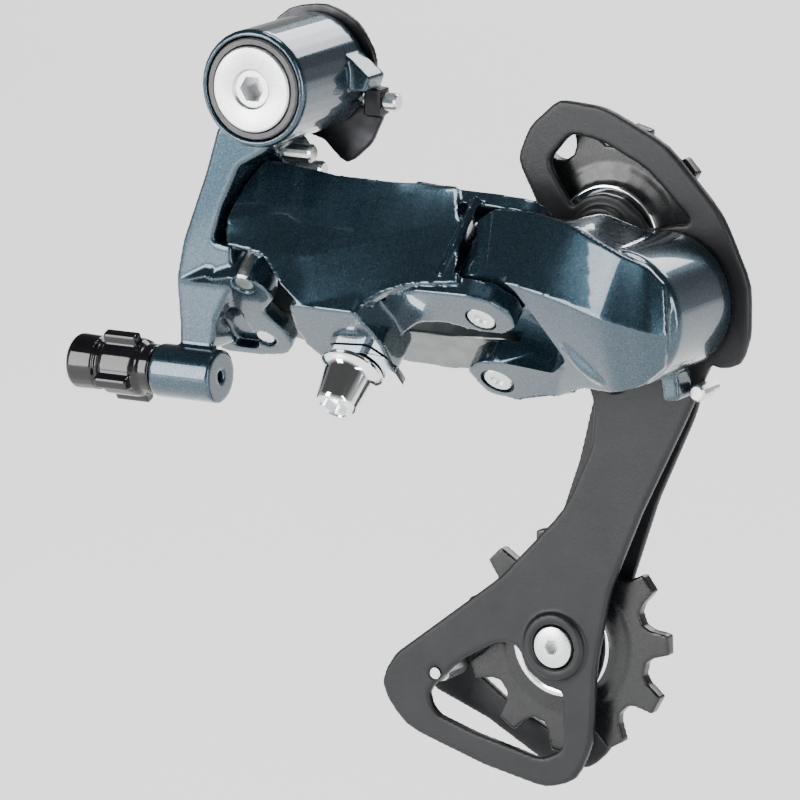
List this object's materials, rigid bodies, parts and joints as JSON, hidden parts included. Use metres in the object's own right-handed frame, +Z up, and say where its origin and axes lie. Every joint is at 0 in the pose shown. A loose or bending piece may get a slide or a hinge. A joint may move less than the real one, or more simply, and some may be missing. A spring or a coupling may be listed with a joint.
{
  "type": "rear bicycle derailleur",
  "caption": "Rear bicycle derailleur with a slant parallelogram, barrel-shaped pivots, a long open cage and toothed guide and tension pulleys.",
  "frame": {"origin": "on the mounting bolt's axis, at the face that meets the bicycle frame's hanger", "axes": "+X towards the front of the bicycle, +Y inboard towards the wheel and along the mounting bolt, +Z up"},
  "size_m": [0.1416, 0.0494, 0.1607],
  "materials": {
    "blue_grey_paint": "metallic clear-coated paint",
    "machined_steel": "turned",
    "zinc_steel": "zinc plated",
    "spring_steel": "drawn wire",
    "chrome_plate": "polished",
    "black_steel": "satin black",
    "grey_steel": "satin grey",
    "satin_black": "satin, moulded",
    "black_resin": "semi-gloss, moulded",
    "gloss_black_resin": "gloss, moulded",
    "grey_resin": "satin, moulded"
  },
  "bodies": {
    "hanger_side": {"b_axle_bolt": "machined_steel", "b_axle_sleeve": "zinc_steel", "stopper_plate": "black_steel", "b_tension_screw": "zinc_steel"},
    "bracket": {"b_knuckle": "blue_grey_paint", "b_dust_ring": "grey_resin", "b_spring": "spring_steel", "limit_screw_high": "zinc_steel", "limit_screw_low": "zinc_steel", "b_pin_outer": "zinc_steel", "b_pin_inner": "zinc_steel", "link_return_spring": "spring_steel"},
    "adjuster": {"adjuster_knob": "gloss_black_resin", "adjuster_screw": "zinc_steel"},
    "outer_link": {"outer_link": "blue_grey_paint", "p_pin_outer": "zinc_steel", "cable_clamp_plate": "chrome_plate", "cable_clamp_bolt": "chrome_plate"},
    "inner_link": {"inner_link": "grey_steel"},
    "p_knuckle": {"p_knuckle": "blue_grey_paint", "p_pin_inner": "zinc_steel", "p_spring": "spring_steel", "p_seal": "black_resin"},
    "cage": {"cage_outer_plate": "satin_black", "cage_inner_plate": "satin_black", "p_axle": "zinc_steel", "cage_pin": "machined_steel", "cage_stop_screw": "zinc_steel", "guide_pulley_cap_outer": "chrome_plate", "guide_pulley_cap_inner": "chrome_plate", "guide_pulley_bush": "zinc_steel", "guide_pulley_bolt": "machined_steel", "tension_pulley_cap_outer": "chrome_plate", "tension_pulley_cap_inner": "chrome_plate", "tension_pulley_bush": "zinc_steel", "tension_pulley_bolt": "machined_steel"},
    "guide_pulley": {"guide_pulley": "black_resin"},
    "tension_pulley": {"tension_pulley": "black_resin"}
  },
  "joints": [
    {"name": "bracket_swing", "type": "hinge", "parent": "hanger_side", "child": "bracket", "pos_m": [0, 0, 0], "axis": [0, -1, 0], "range_deg": [0, 25], "stiffness_Nm_per_rad": 2, "springref_deg": -22.92},
    {"name": "shift", "type": "hinge", "parent": "bracket", "child": "outer_link", "pos_m": [-0.005, -0.01631, -0.0342], "axis": [0, 0.7431, 0.6691], "range_deg": [0, 40], "stiffness_Nm_per_rad": 1.2, "springref_deg": -34.38},
    {"name": "inner_link_turn", "type": "hinge", "parent": "bracket", "child": "inner_link", "pos_m": [-0.007, -0.00636, -0.04973], "axis": [0, 0.7431, 0.6691], "range_deg": [0, 40]},
    {"name": "p_knuckle_turn", "type": "hinge", "parent": "outer_link", "child": "p_knuckle", "pos_m": [0.04964, -0.01458, -0.03611], "axis": [0, 0.7431, 0.6691], "range_deg": [-40, 0]},
    {"name": "cage_swing", "type": "hinge", "parent": "p_knuckle", "child": "cage", "pos_m": [0.0795, 0, -0.0411], "axis": [0, -1, 0], "range_deg": [0, 100], "stiffness_Nm_per_rad": 0.35, "springref_deg": -45.84},
    {"name": "guide_pulley_spin", "type": "hinge", "parent": "cage", "child": "guide_pulley", "pos_m": [0.0635, 0.0092, -0.0306], "axis": [0, 1, 0], "continuous": true},
    {"name": "tension_pulley_spin", "type": "hinge", "parent": "cage", "child": "tension_pulley", "pos_m": [0.0528, 0.0092, -0.1168], "axis": [0, 1, 0], "continuous": true},
    {"name": "adjuster_turn", "type": "hinge", "parent": "bracket", "child": "adjuster", "pos_m": [-0.026, -0.025, -0.0615], "axis": [1, 0, 0], "continuous": true}
  ],
  "couplings": [
    {"joint": "inner_link_turn", "follows": "shift", "ratio": 1},
    {"joint": "p_knuckle_turn", "follows": "shift", "ratio": -1}
  ]
}
